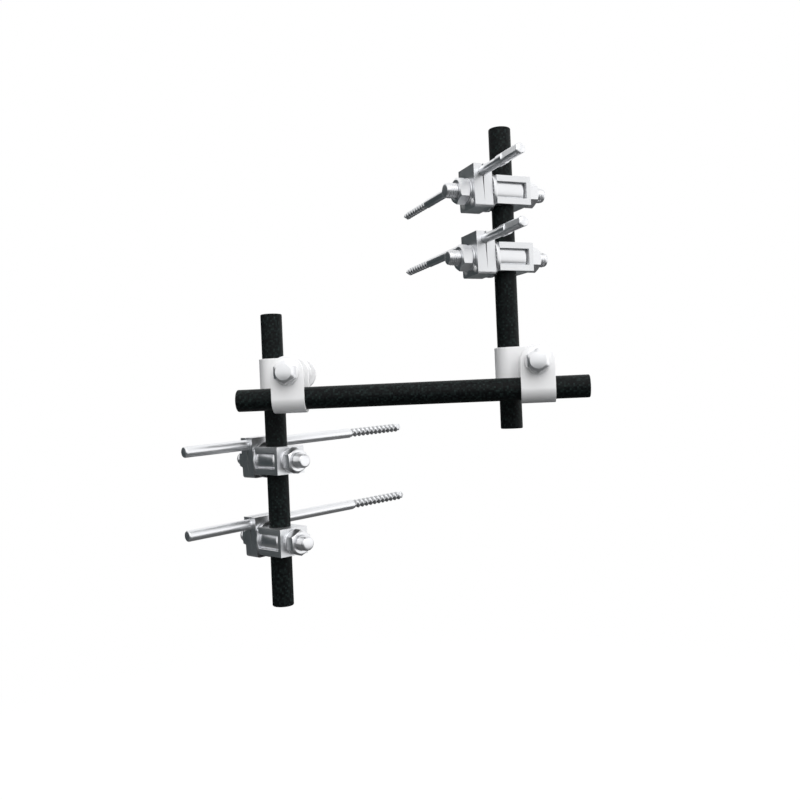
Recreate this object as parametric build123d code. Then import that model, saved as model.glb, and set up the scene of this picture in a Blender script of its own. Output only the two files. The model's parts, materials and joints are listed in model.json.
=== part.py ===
from build123d import *
from math import cos, pi, sin
import os

# External fixator for a long bone, in millimetres.
# A connecting rod lies level along X, and two upright rods stand behind it.
# Each upright is joined to the connecting rod by two folded strap jaws on one bolt.
# Each upright carries two pin clamps, and each pin clamp grips one bone pin.
# Origin: the middle of the connecting rod. +X to the right, +Y away from the viewer, +Z up.

# Rods
rod_diameter = 11.0
rod_edge = 0.6
connecting_rod_length = 172.0
upright_length = 150.0
lower_rod_x = -72.0
lower_rod_top = 44.0
upper_rod_x = 48.7
upper_rod_bottom = -19.5

# Clearances, and how far a cut runs past what it cuts
sliding_clearance = 0.05
face_clearance = 0.05
overrun = 2.0

# Strap jaw: one strip folded round a rod, its two legs drilled for the bolt
strap_thickness = 1.5
strap_width = 16.3
strap_edge = 0.4
bolt_reach = 12.8

# Clamp bolt, with its nut, washers and the toothed spacer between the jaws
clamp_bolt_diameter = 6.0
clamp_bolt_past_nut = 3.0
clamp_head_across_flats = 10.0
clamp_head_height = 6.0
clamp_nut_across_flats = 10.0
clamp_nut_height = 5.6
clamp_washer_diameter = 12.6
clamp_washer_thickness = 1.2
spacer_diameter = 13.4
spacer_thickness = 3.9
spacer_teeth = 24
washer_edge = 0.25
thread_edge = 0.6

# Yoke of a pin clamp: two drilled bars and a front wall, open at the back
yoke_width = 17.0
yoke_bar = 3.0
yoke_window = 8.0
yoke_front = 11.5
yoke_wall = 2.3
yoke_back = 7.4
yoke_corner = 0.5
yoke_edge = 0.5

# Eye bolt: a flatted barrel with a cross hole for the rod, and a screwed stem at each end
barrel_diameter = 16.4
barrel_front = 8.6
barrel_nose = 1.8
barrel_back = 7.3
barrel_edge = 0.5
stem_diameter = 7.5
stem_past_front_nut = 5.6
stem_past_back_nut = 6.0
stem_edge = 1.1

# Toothed disc between the yoke and the plates
disc_diameter = 19.0
disc_thickness = 2.2
disc_teeth = 30
tooth_depth = 0.35

# The two plates that grip the bone pin, and the slit between them
plate_width = 16.5
plate_top = 12.0
plate_bottom = 9.0
inner_plate = 4.6
outer_plate = 5.3
slit_width = 0.9
heel_height = 2.5
plate_corner = 1.4
plate_edge = 0.4
groove_height = 8.3

# Guide pins that keep the plates in line
guide_pin_diameter = 3.0
guide_pin_spacing = 9.6
guide_pin_drop = 6.0
guide_pin_floor = 1.2
guide_pin_proud = 0.5
guide_pin_edge = 0.45

# Nuts and washers of a pin clamp
pin_clamp_across_flats = 11.5
pin_clamp_nut_height = 5.5
pin_clamp_washer_diameter = 12.6
pin_clamp_washer_thickness = 0.9

# Bone pins
pin_edge = 0.7
thread_shoulder = 0.5
trocar_length = 5.0
lower_pin_length = 150.0
lower_pin_diameter = 5.5
lower_thread_diameter = 5.0
lower_thread_length = 41.0
lower_pin_tail = 45.4
lower_pin_tilt = 1.8
upper_pin_length = 135.0
upper_pin_diameter = 4.6
upper_thread_diameter = 4.2
upper_thread_length = 32.0
upper_pin_tail = 44.7
upper_pin_tilt = -1.2
drive_end_diameter = 5.5
drive_end_length = 20.0
drive_end_edge = 1.2
drive_flat_length = 13.0
drive_flat_depth = 0.5
drive_flat_turn = -50.0

# Heights of the pin clamps above the connecting rod, and the turn of each pair on its upright
lower_clamp_heights = (-31.0, -72.3)
upper_clamp_heights = (98.2, 65.4)
lower_clamp_turn = -39.4
upper_clamp_turn = 28.5

# Counts and shares that carry no size
hex_sides = 6
flats_per_pin = 3
hex_face_share = 0.93
head_face_share = 0.78
hex_slope_share = 0.5
tooth_width_share = 0.8

# Worked out from the sizes above
rod_bore = rod_diameter / 2 + sliding_clearance
strap_half = rod_bore + strap_thickness
upright_y = 2 * strap_half + spacer_thickness
clamp_bolt_bore = clamp_bolt_diameter / 2 + sliding_clearance
yoke_half_height = yoke_window / 2 + yoke_bar
stem_bore = stem_diameter / 2 + sliding_clearance
disc_back = yoke_back + disc_thickness
plates_front = disc_back + face_clearance
slit_front = plates_front + inner_plate
plates_back = slit_front + outer_plate
slit_rise = plate_top + plate_bottom - heel_height
slit_at_groove = slit_width * (groove_height + plate_bottom - heel_height) / slit_rise
groove_x = slit_front + slit_at_groove / 2
front_nut_face = yoke_front + pin_clamp_washer_thickness
back_washer_face = plates_back + face_clearance
back_nut_face = back_washer_face + pin_clamp_washer_thickness


def save(part, name):
    """One STEP file for each node."""
    export_step(part, f"parts/{name}.step")


def drum(radius, start, end, edge=0.0):
    """A cylinder along +Z from start to end, with both rims chamfered."""
    body = Pos(0, 0, (start + end) / 2) * Cylinder(radius, end - start)
    if edge:
        body = chamfer(body.edges().filter_by(GeomType.CIRCLE), edge)
    return body


def along_y(part, x, y, z):
    """Puts a part that was made along +Z along +Y."""
    return Plane((x, y, z), x_dir=(1, 0, 0), z_dir=(0, 1, 0)) * part


def along_x(part, x, y=0, z=0):
    """Puts a part that was made along +Z along +X, with its +Y upwards."""
    return Plane((x, y, z), x_dir=(0, 1, 0), z_dir=(1, 0, 0)) * part


def washer(diameter, bore, thickness):
    """A plain washer, standing on the XY plane."""
    return drum(diameter / 2, 0, thickness, washer_edge) - drum(bore, -overrun, thickness + overrun)


def face_teeth(part, face_z, radius, bore, count):
    """Cuts V grooves across a round face that looks to +Z, from its bore to its rim."""
    half_width = bore * sin(pi / count) * tooth_width_share
    outline = Polyline((-half_width, 0), (0, -tooth_depth), (half_width, 0), close=True)
    groove = extrude(Plane.XZ * make_face(outline), -radius - overrun)
    for number in range(count):
        part -= Pos(0, 0, face_z) * Rot(0, 0, 360 * number / count) * groove
    return part


def hexagon(across_flats, height, face_share, both_ends):
    """A hexagon standing on the XY plane, points on Y, its corners turned off at one end or both."""
    corner = across_flats / 2 / cos(pi / hex_sides)
    face = across_flats / 2 * face_share
    slope = (corner - face) * hex_slope_share
    foot = [(face, 0), (corner, slope)] if both_ends else [(corner, 0)]
    outline = Polyline((0, 0), *foot, (corner, height - slope), (face, height), (0, height), close=True)
    envelope = revolve(Plane.XZ * make_face(outline), Axis.Z)
    return extrude(RegularPolygon(corner, hex_sides, rotation=90), height) & envelope


def nut(across_flats, height, bore):
    """A hexagon nut with both ends turned, standing on the XY plane."""
    body = hexagon(across_flats, height, hex_face_share, both_ends=True)
    return body - drum(bore, -overrun, height + overrun)


def rod(length):
    """A carbon rod along Z, centred."""
    return drum(rod_diameter / 2, -length / 2, length / 2, rod_edge)


def strap_jaw():
    """A strap folded round a rod along X, with its legs rising to +Z and drilled along Y."""
    straight = bolt_reach + strap_width / 2
    fold = Circle(strap_half) + Pos(0, straight / 2) * Rectangle(2 * strap_half, straight)
    face_height = bolt_reach + strap_half
    face = Pos(0, face_height / 2 - strap_half) * Rectangle(strap_width, face_height)
    face += Pos(0, bolt_reach) * Circle(strap_width / 2)
    body = extrude(Plane.YZ * fold, strap_width / 2, both=True)
    body &= extrude(Plane.XZ * face, strap_half + overrun, both=True)
    rim = body.edges() - body.edges().filter_by(Axis.X) - body.edges().filter_by(Axis.Y)
    body = fillet(rim, strap_edge)
    slot = Circle(rod_bore) + Pos(0, straight) * Rectangle(2 * rod_bore, 2 * straight)
    body -= extrude(Plane.YZ * slot, strap_width / 2 + overrun, both=True)
    reach = strap_half + overrun
    return body - along_y(drum(clamp_bolt_bore, -reach, reach), 0, 0, bolt_reach)


def strap_clamp(rod_x):
    """The pieces that join the upright at rod_x to the connecting rod, as a name and a part each."""
    bolt_x = rod_x + bolt_reach
    bolt_z = bolt_reach
    front_face = -strap_half
    spacer_face = strap_half
    back_face = upright_y + strap_half
    nut_face = back_face + clamp_washer_thickness
    bolt_end = nut_face + clamp_nut_height + clamp_bolt_past_nut
    head_face = front_face - clamp_washer_thickness

    # The rear jaw is the same strap, laid on its side round the upright
    front_jaw = Pos(bolt_x, 0, 0) * strap_jaw()
    rear_jaw = Pos(rod_x, upright_y, bolt_z) * Rot(0, 90, 0) * strap_jaw()

    head = hexagon(clamp_head_across_flats, clamp_head_height, head_face_share, both_ends=False)
    head = Rot(180, 0, 0) * head
    shank = drum(clamp_bolt_diameter / 2, -clamp_head_height / 2, bolt_end - head_face, thread_edge)
    bolt = along_y(head + shank, bolt_x, head_face, bolt_z)
    nut_part = nut(clamp_nut_across_flats, clamp_nut_height, clamp_bolt_bore)
    plain = washer(clamp_washer_diameter, clamp_bolt_bore, clamp_washer_thickness)

    spacer = washer(spacer_diameter, clamp_bolt_bore, spacer_thickness)
    spacer = face_teeth(spacer, spacer_thickness, spacer_diameter / 2, clamp_bolt_bore, spacer_teeth)
    other_face = Pos(0, 0, spacer_thickness) * Rot(180, 0, 0) * spacer
    spacer = face_teeth(other_face, spacer_thickness, spacer_diameter / 2, clamp_bolt_bore, spacer_teeth)

    return {
        "front_jaw": front_jaw,
        "rear_jaw": rear_jaw,
        "clamp_bolt": bolt,
        "front_washer": along_y(plain, bolt_x, head_face, bolt_z),
        "middle_washer": along_y(spacer, bolt_x, spacer_face, bolt_z),
        "rear_washer": along_y(plain, bolt_x, back_face, bolt_z),
        "clamp_nut": along_y(nut_part, bolt_x, nut_face, bolt_z),
    }


def yoke():
    """Two bars joined by a front wall, drilled for the rod and for the stem of the eye bolt."""
    length = yoke_front + yoke_back
    middle = (yoke_front - yoke_back) / 2
    block = Pos(middle, 0, 0) * Box(length, yoke_width, 2 * yoke_half_height)
    block = fillet(block.edges(), yoke_edge)
    window_length = yoke_front - yoke_wall + yoke_back + overrun
    window_middle = yoke_front - yoke_wall - window_length / 2
    window = Pos(window_middle, 0, 0) * Box(window_length, yoke_width + overrun, yoke_window)
    window = fillet(window.edges().filter_by(Axis.Y).sort_by(Axis.X)[-2:], yoke_corner)
    block -= window
    block -= drum(rod_bore, -yoke_half_height - overrun, yoke_half_height + overrun)
    hole_start = yoke_front - yoke_wall - yoke_corner
    return block - along_x(drum(stem_bore, hole_start, yoke_front + overrun), 0)


def eye_bolt():
    """A barrel along X with flats above and below, a cross hole for the rod, and two stems."""
    barrel = drum(barrel_diameter / 2, -barrel_back, barrel_front)
    rims = barrel.edges().filter_by(GeomType.CIRCLE).sort_by(Axis.Z)
    barrel = chamfer(rims[0], barrel_edge)
    rims = barrel.edges().filter_by(GeomType.CIRCLE).sort_by(Axis.Z)
    barrel = chamfer(rims[-1], barrel_nose)
    flats = yoke_window - 2 * face_clearance
    barrel &= Box(flats, barrel_diameter, 2 * (barrel_back + barrel_front))
    front_end = front_nut_face + pin_clamp_nut_height + stem_past_front_nut
    back_end = back_nut_face + pin_clamp_nut_height + stem_past_back_nut
    body = barrel + drum(stem_diameter / 2, -back_end, front_end, stem_edge)
    body = Rot(0, 90, 0) * body
    return body - drum(rod_bore, -barrel_diameter, barrel_diameter)


def clamp_disc():
    """A disc against the back of the yoke, toothed on the side of the plates."""
    disc = washer(disc_diameter, stem_bore, disc_thickness)
    disc = face_teeth(disc, disc_thickness, disc_diameter / 2, stem_bore, disc_teeth)
    return Pos(-yoke_back, 0, 0) * Rot(0, -90, 0) * disc


def plate(outline, bore, pin_bore):
    """One plate from its side view in XZ, grooved for the bone pin and drilled for the stem and guide pins."""
    body = extrude(Plane.XZ * make_face(outline), plate_width / 2, both=True)
    low = body.edges().filter_by(Axis.X).sort_by(Axis.Z)[:2]
    body = fillet(low, plate_corner)
    high = body.edges().filter_by(Axis.X).sort_by(Axis.Z)[-2:]
    body = fillet(high, plate_edge)
    body -= along_x(drum(bore, -plates_back - overrun, -plates_front + overrun), 0)
    reach = plate_width / 2 + overrun
    return body - along_y(drum(pin_bore, -reach, reach), -groove_x, 0, groove_height)


def guide_pin_places():
    """The two places of the guide pins, as y and z."""
    return [(side * guide_pin_spacing / 2, -guide_pin_drop) for side in (-1, 1)]


def guide_pin_holes():
    """Holes for both guide pins, blind in the inner plate."""
    radius = guide_pin_diameter / 2 + sliding_clearance
    hole = drum(radius, -plates_back - overrun, -plates_front - guide_pin_floor)
    return [along_x(hole, 0, y, z) for y, z in guide_pin_places()]


def inner_plate_part(pin_bore):
    """The plate against the disc."""
    outline = Polyline(
        (-plates_front, -plate_bottom),
        (-plates_front, plate_top),
        (-slit_front, plate_top),
        (-slit_front, -plate_bottom),
        close=True,
    )
    return plate(outline, stem_bore, pin_bore) - guide_pin_holes()


def outer_plate_part(pin_bore):
    """The plate under the nut, with a heel at its foot and a slit that widens to the top."""
    outline = Polyline(
        (-slit_front, -plate_bottom),
        (-slit_front, heel_height - plate_bottom),
        (-slit_front - slit_width, plate_top),
        (-plates_back, plate_top),
        (-plates_back, -plate_bottom),
        close=True,
    )
    return plate(outline, stem_bore, pin_bore) - guide_pin_holes()


def guide_pins():
    """Two dowels, their outer ends just proud of the outer plate."""
    start = -plates_back - guide_pin_proud
    dowel = drum(guide_pin_diameter / 2, start, -plates_front - guide_pin_floor, guide_pin_edge)
    return Compound([along_x(dowel, 0, y, z) for y, z in guide_pin_places()])


def bone_pin(diameter, length, thread_diameter, thread_length, tail, drive_end):
    """A bone pin along +Y in its groove: a plain shaft, a threaded stretch and a trocar tip."""
    tip = length - tail
    thread_start = tip - thread_length
    shaft = drum(diameter / 2, -tail, thread_start, pin_edge)
    threaded = drum(thread_diameter / 2, thread_start - thread_shoulder, tip)
    for number in range(flats_per_pin):
        turn = 2 * pi * number / flats_per_pin
        leans_out = (trocar_length * cos(turn), trocar_length * sin(turn), thread_diameter / 2)
        face = Plane((0, 0, tip), z_dir=leans_out)
        threaded = split(threaded, bisect_by=face, keep=Keep.BOTTOM)
    pin = shaft + threaded
    if drive_end:
        pin += drive_end_part(tail)
    return along_y(pin, -groove_x, 0, groove_height)


def drive_end_part(tail):
    """The thicker tail that a drill chuck takes, with three flats."""
    radius = drive_end_diameter / 2
    body = drum(radius, -tail, drive_end_length - tail, drive_end_edge)
    flat_start = drive_end_edge - tail
    for number in range(flats_per_pin):
        flat = Pos(2 * radius - drive_flat_depth, 0, flat_start + drive_flat_length / 2)
        flat *= Box(2 * radius, 2 * drive_end_diameter, drive_flat_length)
        body -= Rot(0, 0, drive_flat_turn + 360 * number / flats_per_pin) * flat
    return body


def pin_clamp(pin, pin_diameter, pin_tilt):
    """The pieces of a pin clamp on a rod along Z, as a name and a part each."""
    pin_bore = pin_diameter / 2 + sliding_clearance
    nut_part = nut(pin_clamp_across_flats, pin_clamp_nut_height, stem_bore)
    plain = washer(pin_clamp_washer_diameter, stem_bore, pin_clamp_washer_thickness)
    front_washer = along_x(plain, yoke_front)
    back_washer = along_x(plain, -back_nut_face)
    # What turns with the bone pin on the stem of the eye bolt
    tilt = Rot(pin_tilt, 0, 0)
    return {
        "yoke": yoke(),
        "eye_bolt": eye_bolt(),
        "clamp_disc": clamp_disc(),
        "inner_plate": tilt * inner_plate_part(pin_bore),
        "outer_plate": tilt * outer_plate_part(pin_bore),
        "guide_pins": tilt * guide_pins(),
        "washers": Compound([front_washer, back_washer]),
        "rod_nut": along_x(nut_part, front_nut_face),
        "pin_nut": along_x(nut_part, -back_nut_face - pin_clamp_nut_height),
        "bone_pin": tilt * pin,
    }


def fixator():
    """Every node by name."""
    nodes = {"connecting_rod": Rot(0, 90, 0) * rod(connecting_rod_length)}

    lower_middle = lower_rod_top - upright_length / 2
    upper_middle = upper_rod_bottom + upright_length / 2
    nodes["lower_rod"] = Pos(lower_rod_x, upright_y, lower_middle) * rod(upright_length)
    nodes["upper_rod"] = Pos(upper_rod_x, upright_y, upper_middle) * rod(upright_length)

    lower_pin = bone_pin(
        lower_pin_diameter,
        lower_pin_length,
        lower_thread_diameter,
        lower_thread_length,
        lower_pin_tail,
        drive_end=False,
    )
    upper_pin = bone_pin(
        upper_pin_diameter,
        upper_pin_length,
        upper_thread_diameter,
        upper_thread_length,
        upper_pin_tail,
        drive_end=True,
    )
    lower_set = pin_clamp(lower_pin, lower_pin_diameter, lower_pin_tilt)
    upper_set = pin_clamp(upper_pin, upper_pin_diameter, upper_pin_tilt)
    ends = (
        ("lower", lower_rod_x, lower_clamp_heights, lower_clamp_turn, lower_set),
        ("upper", upper_rod_x, upper_clamp_heights, upper_clamp_turn, upper_set),
    )
    for end, rod_x, heights, turn, clamp_set in ends:
        for name, part in strap_clamp(rod_x).items():
            nodes[f"{end}_{name}"] = part
        for number, height in enumerate(heights, start=1):
            place = Pos(rod_x, upright_y, height) * Rot(0, 0, turn)
            for name, part in clamp_set.items():
                nodes[f"{end}_{name}_{number}"] = place * part
    return nodes


os.makedirs("parts", exist_ok=True)
for node_name, node_part in fixator().items():
    save(node_part, node_name)
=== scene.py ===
# %% [markdown]
# # An external fixator, piece by piece
# Three carbon rods, two rod clamps folded from strap, and four pin clamps that hold threaded bone pins.
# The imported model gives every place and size. This script dresses it: turned steel, folded strap, milled
# yokes, helical threads and a woven carbon finish. Each cell makes one kind of piece.

# %% Load the frame
import json
from functools import partial
from math import atan2, cos, pi, radians, sin

import bmesh
import bpy
from mathutils import Matrix, Vector


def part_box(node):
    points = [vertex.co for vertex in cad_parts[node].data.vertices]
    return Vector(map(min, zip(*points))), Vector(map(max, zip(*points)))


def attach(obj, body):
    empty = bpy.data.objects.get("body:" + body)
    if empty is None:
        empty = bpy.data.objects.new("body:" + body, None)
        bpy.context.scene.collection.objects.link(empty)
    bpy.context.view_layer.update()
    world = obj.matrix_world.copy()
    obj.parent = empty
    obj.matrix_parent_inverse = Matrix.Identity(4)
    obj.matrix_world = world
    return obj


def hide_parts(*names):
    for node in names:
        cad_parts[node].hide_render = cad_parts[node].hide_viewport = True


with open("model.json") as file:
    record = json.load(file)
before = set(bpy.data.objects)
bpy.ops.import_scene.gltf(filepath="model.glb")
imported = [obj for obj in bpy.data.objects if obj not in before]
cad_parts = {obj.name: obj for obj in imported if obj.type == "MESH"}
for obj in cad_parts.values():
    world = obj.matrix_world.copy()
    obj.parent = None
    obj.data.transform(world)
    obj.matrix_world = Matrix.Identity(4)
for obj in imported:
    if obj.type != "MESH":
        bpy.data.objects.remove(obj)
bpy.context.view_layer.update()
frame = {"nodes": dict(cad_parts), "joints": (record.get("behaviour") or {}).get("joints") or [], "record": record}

joints = {joint["name"]: joint for joint in frame["joints"]}

# %% [markdown]
# ## Units and places
# Everything is in metres. A clamp is easiest to draw in its own axes: X along its bolt, Y along the bone
# pin, Z along the rod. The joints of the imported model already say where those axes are, so each place is
# built from a joint, and each piece's reach is measured from its solid in those axes.

# %% Places of the clamps
MM = 0.001
UP = Vector((0, 0, 1))
ENDS = ("lower", "upper")
NUMBERS = (1, 2)


def axes_place(origin, x_axis, z_axis):
    """A matrix with its X along x_axis and its Z as near to z_axis as that allows."""
    x = Vector(x_axis).normalized()
    y = Vector(z_axis).cross(x).normalized()
    z = x.cross(y)
    turn = Matrix((x, y, z)).transposed().to_4x4()
    return Matrix.Translation(Vector(origin)) @ turn


def yoke_place(end, number):
    """The axes of a pin clamp on its rod."""
    bolt = joints[f"{end}_plates_turn_{number}"]
    return axes_place(bolt["pos_m"], bolt["axis"], UP)


def plates_place(end, number):
    """The axes of the plates, which lean with the bone pin."""
    bolt = joints[f"{end}_plates_turn_{number}"]
    pin = Vector(joints[f"{end}_pin_slide_{number}"]["axis"])
    return axes_place(bolt["pos_m"], bolt["axis"], Vector(bolt["axis"]).cross(pin))


def bolt_place(end):
    """The axes of a clamp bolt: X along the bolt, away from its head, and Z up."""
    bolt = joints[f"{end}_upright_tilt"]
    return axes_place((bolt["pos_m"][0], 0, bolt["pos_m"][2]), bolt["axis"], UP)


def local_box(node, place):
    """The lowest and highest corner of a solid in the axes of a place."""
    back = place.inverted()
    points = [back @ v.co for v in frame["nodes"][node].data.vertices]
    low = Vector([min(p[k] for p in points) for k in range(3)])
    high = Vector([max(p[k] for p in points) for k in range(3)])
    return low, high


rod_low, rod_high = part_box("connecting_rod")
ROD_RADIUS = (rod_high.z - rod_low.z) / 2
print("rod radius", round(ROD_RADIUS / MM, 3), "mm")

# %% [markdown]
# ## Mesh helpers
# Most of this object is turned on a lathe, so one helper spins a list of stations into a closed skin. A
# rule may change the radius with the angle, which gives hexagons and flats from the same helper. Milled
# pieces come from plain prisms, cut by exact booleans and softened by a bevel with weighted normals.

# %% Turned pieces
WELD = MM / 1000


def linked(name, data):
    """A new object in the scene."""
    item = bpy.data.objects.new(name, data)
    bpy.context.scene.collection.objects.link(item)
    return item


def reworked(mesh, edit):
    """The mesh, after an edit of its points and faces."""
    work = bmesh.new()
    work.from_mesh(mesh)
    edit(work)
    work.to_mesh(mesh)
    work.free()
    return mesh


def face_outwards(work):
    """Turns the faces of a closed skin outwards."""
    bmesh.ops.recalc_face_normals(work, faces=work.faces)


def mesh_from(points, faces):
    """A mesh with its doubles merged and its faces outwards."""
    mesh = bpy.data.meshes.new("shape")
    mesh.from_pydata([tuple(p) for p in points], [], faces)

    def clean(work):
        bmesh.ops.remove_doubles(work, verts=work.verts, dist=WELD)
        bmesh.ops.dissolve_degenerate(work, edges=work.edges, dist=WELD)
        face_outwards(work)
    return reworked(mesh, clean)


def turned(stations, segments=96, rule=None, bored=False):
    """Spins stations of (height, radius) about Z. A bored piece's stations close on themselves."""
    points = []
    for height, radius in stations:
        for step in range(segments):
            angle = 2 * pi * step / segments
            reach = rule(angle, radius, height) if rule else radius
            points.append((reach * cos(angle), reach * sin(angle), height))
    rings = len(stations)
    faces = []
    for ring in range(rings if bored else rings - 1):
        here, after = ring * segments, (ring + 1) % rings * segments
        for step in range(segments):
            beside = (step + 1) % segments
            faces.append((here + step, here + beside, after + beside, after + step))
    return mesh_from(points, faces)


def stepped(span, steps):
    """Even steps from 0 to a span."""
    return [span * k / steps for k in range(steps + 1)]


def rim(start, radius, edge, away=1, crown=0.0, steps=4):
    """Stations from the middle of an end round its rim; away is +1 or -1, crown is the end's dome."""
    dome = [(start + away * crown * (k / 3) ** 2, (radius - edge) * k / 3) for k in range(3 if crown else 1)]
    arc = stepped(pi / 2, steps)[::-1]
    return dome + [(start + away * (crown + edge * (1 - sin(a))), radius - edge * (1 - cos(a))) for a in arc]


def rounded_stations(start, end, radius, edge, crown=0.0):
    """Stations of a solid bar with rounded rims."""
    return rim(start, radius, edge, 1, crown) + rim(end, radius, edge, -1, crown)[::-1]


def ring_stations(start, end, radius, bore, edge):
    """Stations of a bored ring with softened rims."""
    outer = rounded_stations(start, end, radius, edge)[1:-1]
    half = edge / 2
    return [(start, bore + half), *outer, (end, bore + half), (end - half, bore), (start + half, bore)]


def moved(mesh, place):
    """The mesh, carried to a place."""
    mesh.transform(place)
    return mesh


UPRIGHT = Matrix.Identity(4)
# Turns a piece made along Z so that it runs along X, with its Y upwards
Z_TO_X = Matrix(((0, 0, 1, 0), (1, 0, 0, 0), (0, 1, 0, 0), (0, 0, 0, 1)))
# Turns a piece made along Z so that it runs along Y
Z_TO_Y = Matrix(((1, 0, 0, 0), (0, 0, 1, 0), (0, -1, 0, 0), (0, 0, 0, 1)))
# Stands an outline up in the plane of X and Z, so that it is raised along Y
STOOD_UP = Matrix(((1, 0, 0, 0), (0, 0, 1, 0), (0, 1, 0, 0), (0, 0, 0, 1)))


def bar(start, end, radius, turn, at=(0, 0, 0), segments=96):
    """A plain round bar or cutter, turned and moved."""
    stations = [(start, 0), (start, radius), (end, radius), (end, 0)]
    return moved(turned(stations, segments), Matrix.Translation(at) @ turn)


# %% Milled pieces
BEVEL_ANGLE = radians(28)
FLAT_ANGLE = radians(0.5)


def prism(outline, low, high, place=UPRIGHT):
    """An outline in XY, raised from low to high along Z and carried to a place."""
    count = len(outline)
    points = [place @ Vector((x, y, low)) for x, y in outline]
    points += [place @ Vector((x, y, high)) for x, y in outline]
    sides = [(k, (k + 1) % count, (k + 1) % count + count, k + count) for k in range(count)]
    return mesh_from(points, [tuple(range(count)), tuple(range(count, 2 * count)), *sides])


def block(low, high):
    """A box between two corners."""
    outline = [(low[0], low[1]), (high[0], low[1]), (high[0], high[1]), (low[0], high[1])]
    return prism(outline, low[2], high[2])


def applied(mesh, add_modifiers):
    """The mesh as its modifiers leave it."""
    carrier = linked("carrier", mesh)
    helpers = add_modifiers(carrier) or []
    seen = bpy.context.evaluated_depsgraph_get()
    result = bpy.data.meshes.new_from_object(carrier.evaluated_get(seen))
    for extra in [carrier, *helpers]:
        bpy.data.objects.remove(extra)
    return result


def cut(mesh, tool, operation="DIFFERENCE"):
    """An exact boolean of two closed meshes."""
    def add(carrier):
        helper = linked("tool", tool)
        modifier = carrier.modifiers.new("cut", "BOOLEAN")
        modifier.operation, modifier.object, modifier.solver = operation, helper, "EXACT"
        return [helper]
    return applied(mesh, add)


def softened(mesh, width, segments=3):
    """Rounds every sharp edge and evens the shading of the flats beside it."""
    def clean(work):
        bmesh.ops.remove_doubles(work, verts=work.verts, dist=2 * WELD)
        bmesh.ops.dissolve_limit(work, angle_limit=FLAT_ANGLE, verts=work.verts, edges=work.edges)
        for face in work.faces:
            face.smooth = True

    def add(carrier):
        bevel = carrier.modifiers.new("bevel", "BEVEL")
        bevel.width, bevel.segments = width, segments
        bevel.limit_method, bevel.angle_limit = "ANGLE", BEVEL_ANGLE
        bevel.miter_outer = "MITER_ARC"
        weighted = carrier.modifiers.new("weighted", "WEIGHTED_NORMAL")
        weighted.keep_sharp = True
    return applied(reworked(mesh, clean), add)


# %% [markdown]
# ## Placing a piece
# A finished piece keeps its object at the origin and carries its place in its mesh. Before the mesh is
# moved, each point's own coordinates are kept in an attribute, so that turning marks follow the piece's
# axis however the clamp is turned.

# %% Finish and ride
bodies = frame["record"]["behaviour"]["bodies"]
body_of_node = {node: body for body, nodes in bodies.items() for node in nodes}
# Edges that turn by more degrees than this stay crisp
CREASE = 32
made = []


def join_meshes(meshes):
    """One mesh of several shells."""
    whole = bmesh.new()
    for mesh in meshes:
        whole.from_mesh(mesh)
    joined = bpy.data.meshes.new("joined")
    whole.to_mesh(joined)
    whole.free()
    return joined


def put(node, mesh, place, material, crease=CREASE):
    """Makes the finished piece that stands for a solid, in the solid's place."""
    own_place = mesh.attributes.new("piece_place", "FLOAT_VECTOR", "POINT")
    own_place.data.foreach_set("vector", [c for v in mesh.vertices for c in v.co])
    mesh.transform(place)
    mesh.materials.clear()
    mesh.materials.append(material)
    for face in mesh.polygons:
        face.use_smooth = True
        face.material_index = 0
    mesh.set_sharp_from_angle(angle=radians(crease))
    piece = linked(f"fine_{node}", mesh)
    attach(piece, body_of_node[node])
    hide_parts(node)
    made.append(piece)


# %% [markdown]
# ## Shared finishes
# Two effects are shared by the metals: fine wear that breaks up the gloss, and on turned pieces the marks
# that the tool left. Both are node groups with named inputs, built once and placed where they are needed.

# %% Node helpers
FLOAT, INT = "NodeSocketFloat", "NodeSocketInt"


def feed(node, inputs):
    """Gives a node's inputs their values or links."""
    for key, value in inputs.items():
        socket = node.inputs[key]
        if isinstance(value, bpy.types.NodeSocket):
            node.id_data.links.new(value, socket)
        else:
            socket.default_value = value


def add_node(tree, kind, inputs=None, **settings):
    """A node with its settings and what its inputs are fed."""
    node = tree.nodes.new(kind)
    for key, value in settings.items():
        setattr(node, key, value)
    feed(node, inputs or {})
    return node


def calc(tree, operation, *values):
    """A math node's result, in a shader or a geometry tree."""
    return add_node(tree, "ShaderNodeMath", dict(enumerate(values)), operation=operation).outputs[0]


def tools(tree):
    """The same two helpers, bound to one tree."""
    return partial(add_node, tree), partial(calc, tree)


def mixed(tree, factor, a, b, kind="RGBA"):
    """A mix of two colours or values."""
    inputs = {"Factor": factor, "A": a, "B": b}
    return add_node(tree, "ShaderNodeMix", inputs, data_type=kind).outputs["Result"]


def bumped(tree, height, strength, distance, normal=None):
    """A normal that a height tilts."""
    inputs = {"Height": height, "Strength": strength, "Distance": distance}
    if normal:
        inputs["Normal"] = normal
    return add_node(tree, "ShaderNodeBump", inputs).outputs["Normal"]


def attribute(tree, name, output="Fac"):
    """What the mesh carries under a name."""
    node = add_node(tree, "ShaderNodeAttribute", attribute_name=name, attribute_type="GEOMETRY")
    return node.outputs[output]


def new_material(name):
    """A material, its tree and its shader."""
    material = bpy.data.materials.new(name)
    material.use_nodes = True
    tree = material.node_tree
    return material, tree, tree.nodes["Principled BSDF"]


def group_tree(kind, name, inputs, outputs):
    """A node group. An input is a name, a type and a value or None, an output a name and a type."""
    tree = bpy.data.node_groups.new(name, kind)
    for label, socket_type in outputs:
        tree.interface.new_socket(label, in_out="OUTPUT", socket_type=socket_type)
    for label, socket_type, value in inputs:
        socket = tree.interface.new_socket(label, in_out="INPUT", socket_type=socket_type)
        if value is not None:
            socket.default_value = value
    return tree, tree.nodes.new("NodeGroupInput"), tree.nodes.new("NodeGroupOutput")


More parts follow.
